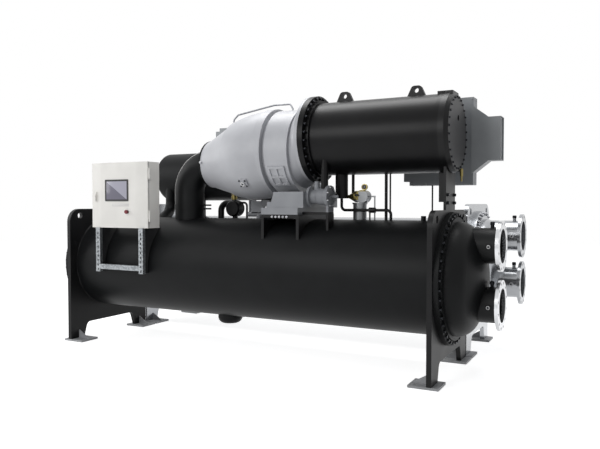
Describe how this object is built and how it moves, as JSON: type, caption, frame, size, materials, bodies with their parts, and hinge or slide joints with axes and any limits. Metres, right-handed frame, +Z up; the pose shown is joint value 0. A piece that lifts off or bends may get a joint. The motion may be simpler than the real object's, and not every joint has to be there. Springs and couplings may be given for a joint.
{
  "type": "water-cooled centrifugal water chiller",
  "caption": "Water chiller: two horizontal shell-and-tube exchangers on plate feet, with a compressor and motor above, an economiser vessel and a control cabinet with a hinged door.",
  "frame": {"origin": "middle of the footprint, on the floor", "axes": "+X along the shells towards the water nozzles, +Y from the control cabinet's side to the condenser's side, +Z up"},
  "size_m": [5.0738, 2.425, 2.696],
  "materials": {
    "black_insulation": "matt black closed-cell insulation with painted skin",
    "black_frame_paint": "matt black paint",
    "silver_paint": "satin silver-grey paint",
    "base_plate_paint": "satin light grey paint",
    "casting_paint": "satin light grey paint on castings",
    "black_motor_paint": "satin black paint",
    "box_paint": "satin mid grey paint",
    "strainer_steel": "dull steel",
    "bent_steel_tube": "bare steel tube",
    "cabinet_paint": "warm off-white powder coat",
    "zinc_sheet": "galvanised",
    "screen_plastic": "black bezel",
    "stop_red": "dark red"
  },
  "bodies": {
    "chiller": {"bypass_line": "black_motor_paint", "cabinet": "cabinet_paint", "cabinet_brackets": "black_frame_paint", "compressor_pedestal": "casting_paint", "compressor_saddle": "black_frame_paint", "condenser_feet_left": "base_plate_paint", "condenser_feet_right": "base_plate_paint", "condenser_nozzle_lower": "silver_paint", "condenser_nozzle_upper": "silver_paint", "condenser_shell": "silver_paint", "condenser_tube_plate_left": "silver_paint", "condenser_tube_plate_right": "silver_paint", "condenser_water_box_left": "silver_paint", "condenser_water_box_right": "silver_paint", "discharge_pipe": "silver_paint", "economiser_pipes": "black_insulation", "economiser_saddles": "black_frame_paint", "economiser_vessel": "black_insulation", "evaporator_feet_left": "base_plate_paint", "evaporator_feet_right": "base_plate_paint", "evaporator_nozzle_lower": "black_insulation", "evaporator_nozzle_upper": "black_insulation", "evaporator_shell": "black_insulation", "evaporator_tube_plate_left": "black_frame_paint", "evaporator_tube_plate_right": "black_frame_paint", "evaporator_water_box_left": "black_insulation", "evaporator_water_box_right": "black_insulation", "gear_casing": "casting_paint", "inlet_housing": "casting_paint", "liquid_line": "silver_paint", "motor_drain_pipe": "black_motor_paint", "motor_end_cover": "black_motor_paint", "motor_housing": "black_motor_paint", "motor_post": "black_motor_paint", "motor_tubes": "black_motor_paint", "mounting_plate": "zinc_sheet", "oil_cooler": "casting_paint", "oil_pump": "casting_paint", "oil_sump": "black_insulation", "oil_tube": "bent_steel_tube", "refrigerant_line": "black_motor_paint", "scroll_casing": "casting_paint", "strainer": "strainer_steel", "strut_frame": "zinc_sheet", "suction_elbow": "black_insulation", "suction_riser": "black_insulation", "terminal_box": "box_paint", "terminal_duct": "box_paint", "vane_actuator": "box_paint"},
    "door": {"cabinet_door": "cabinet_paint", "display_screen": "screen_plastic", "stop_housing": "screen_plastic", "door_lock": "screen_plastic"},
    "stop_button": {"stop_button": "stop_red"}
  },
  "joints": [
    {"name": "door_hinge", "type": "hinge", "parent": "chiller", "child": "door", "pos_m": [-1.00651, -1.1525, 1.6765], "axis": [0, 0, 1], "range_deg": [0, 110]},
    {"name": "stop_push", "type": "slide", "parent": "door", "child": "stop_button", "axis": [0, 1, 0], "range_m": [0, 0.005]}
  ]
}
